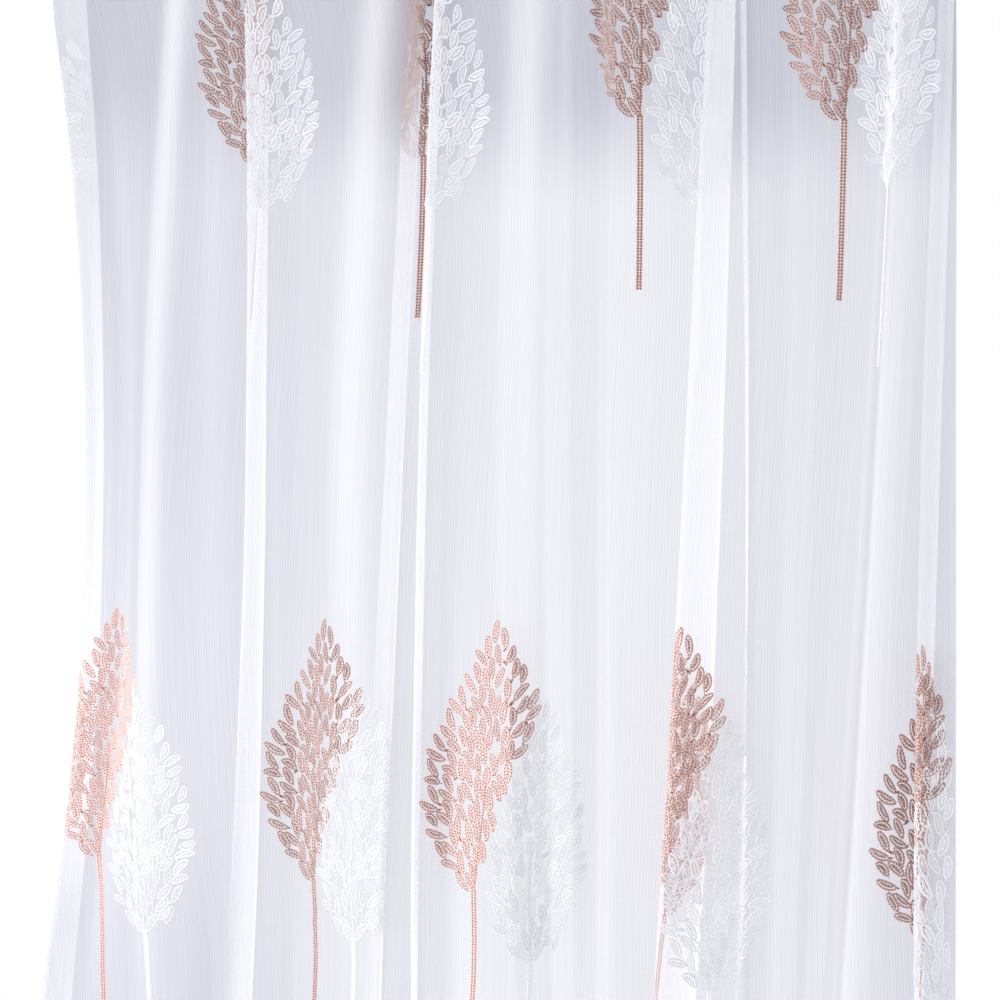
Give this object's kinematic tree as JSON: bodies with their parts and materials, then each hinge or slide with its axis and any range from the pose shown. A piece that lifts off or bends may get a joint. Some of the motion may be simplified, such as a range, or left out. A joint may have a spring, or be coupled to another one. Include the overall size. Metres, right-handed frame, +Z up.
{
  "type": "sheer voile curtain",
  "caption": "Sheer white voile curtain panel hanging in soft uneven folds, for embroidered leafy trees in rose and white thread.",
  "frame": {"origin": "middle of the panel's top edge, on the line of the rail that would carry it", "axes": "+Z up, +X along the curtain to the right as seen from the room, -Y towards the room"},
  "size_m": [0.9934, 0.0778, 2.45],
  "materials": {
    "voile": "sheer white voile with fine vertical ribs",
    "rose_thread": "rose embroidery thread in chain stitch",
    "white_thread": "white embroidery thread in chain stitch"
  },
  "bodies": {
    "root": {"voile_panel": "voile"}
  },
  "joints": []
}
